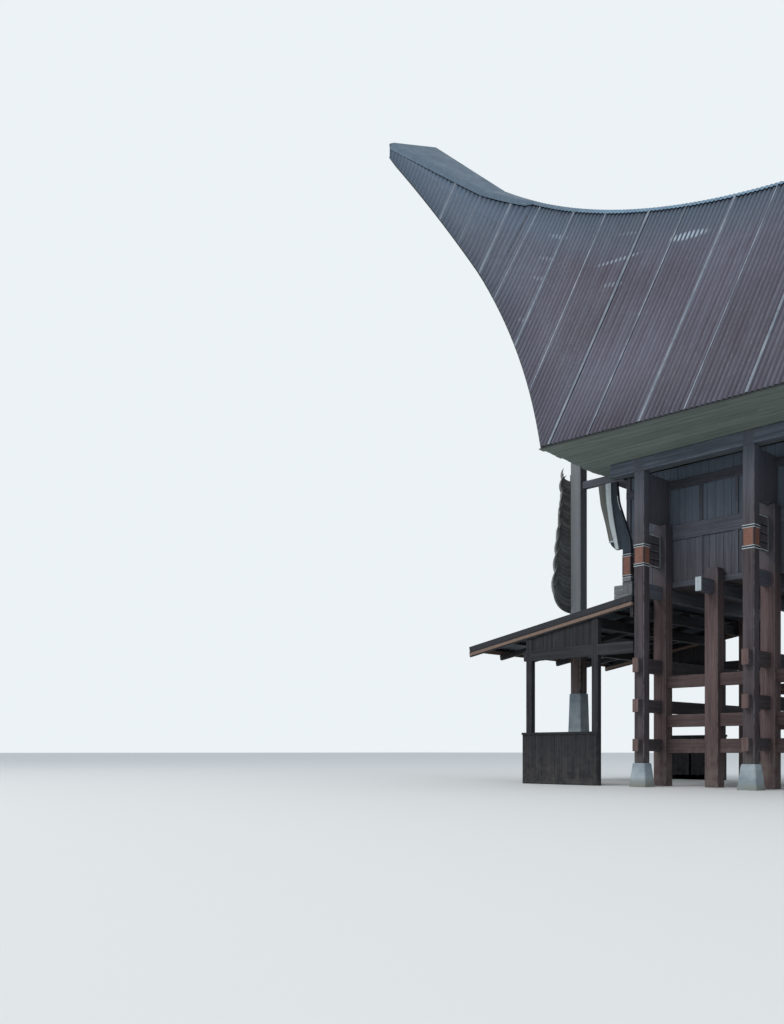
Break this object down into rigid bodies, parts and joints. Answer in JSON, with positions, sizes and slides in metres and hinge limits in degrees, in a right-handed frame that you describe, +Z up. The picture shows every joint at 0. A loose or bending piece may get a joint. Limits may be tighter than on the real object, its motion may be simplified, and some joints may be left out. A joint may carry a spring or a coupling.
{
  "type": "tongkonan house",
  "caption": "Timber house on tall posts with a small porch, under a corrugated saddle roof whose ridge sweeps up into a long prow at each end.",
  "frame": {"origin": "on the ground under the middle of the house", "axes": "+X across the house, +Y along the ridge towards the rear gable (the porch is at -Y), +Z up"},
  "size_m": [6, 19.2706, 13.3727],
  "materials": {
    "post_timber": "weathered, dull",
    "beam_timber": "weathered, dull",
    "wall_board": "dark stained, dull",
    "soffit_plank": "bare grey-green, dull",
    "roof_sheet": "painted corrugated sheet, satin",
    "trim_sheet": "painted sheet, satin",
    "porch_sheet": "painted corrugated sheet, satin",
    "concrete": "rough, pale",
    "horn": "dark horn, satin"
  },
  "bodies": {
    "root": {"cross_frame_1": "post_timber", "plinth_left_1": "concrete", "plinth_right_1": "concrete", "cross_frame_2": "post_timber", "plinth_left_2": "concrete", "plinth_right_2": "concrete", "cross_frame_3": "post_timber", "plinth_left_3": "concrete", "plinth_right_3": "concrete", "cross_frame_4": "post_timber", "plinth_left_4": "concrete", "plinth_right_4": "concrete", "cross_frame_5": "post_timber", "plinth_left_5": "concrete", "plinth_right_5": "concrete", "inner_frame_left": "post_timber", "wall_plate_left": "beam_timber", "side_wall_left": "wall_board", "roof_left": "roof_sheet", "soffit_left": "soffit_plank", "inner_frame_right": "post_timber", "wall_plate_right": "beam_timber", "side_wall_right": "wall_board", "roof_right": "roof_sheet", "soffit_right": "soffit_plank", "floor": "beam_timber", "ridge_beam": "beam_timber", "ridge_cap": "trim_sheet", "front_wall": "wall_board", "front_gable": "wall_board", "front_end_cap": "trim_sheet", "front_pole": "post_timber", "front_pole_plinth": "concrete", "front_pole_beam": "beam_timber", "rear_wall": "wall_board", "rear_gable": "wall_board", "rear_end_cap": "trim_sheet", "rear_pole": "post_timber", "rear_pole_plinth": "concrete", "rear_pole_beam": "beam_timber", "horn_stack": "horn", "porch_roof": "porch_sheet", "porch_frame": "beam_timber", "porch_wall_left": "wall_board", "porch_wall_right": "wall_board"}
  },
  "joints": []
}
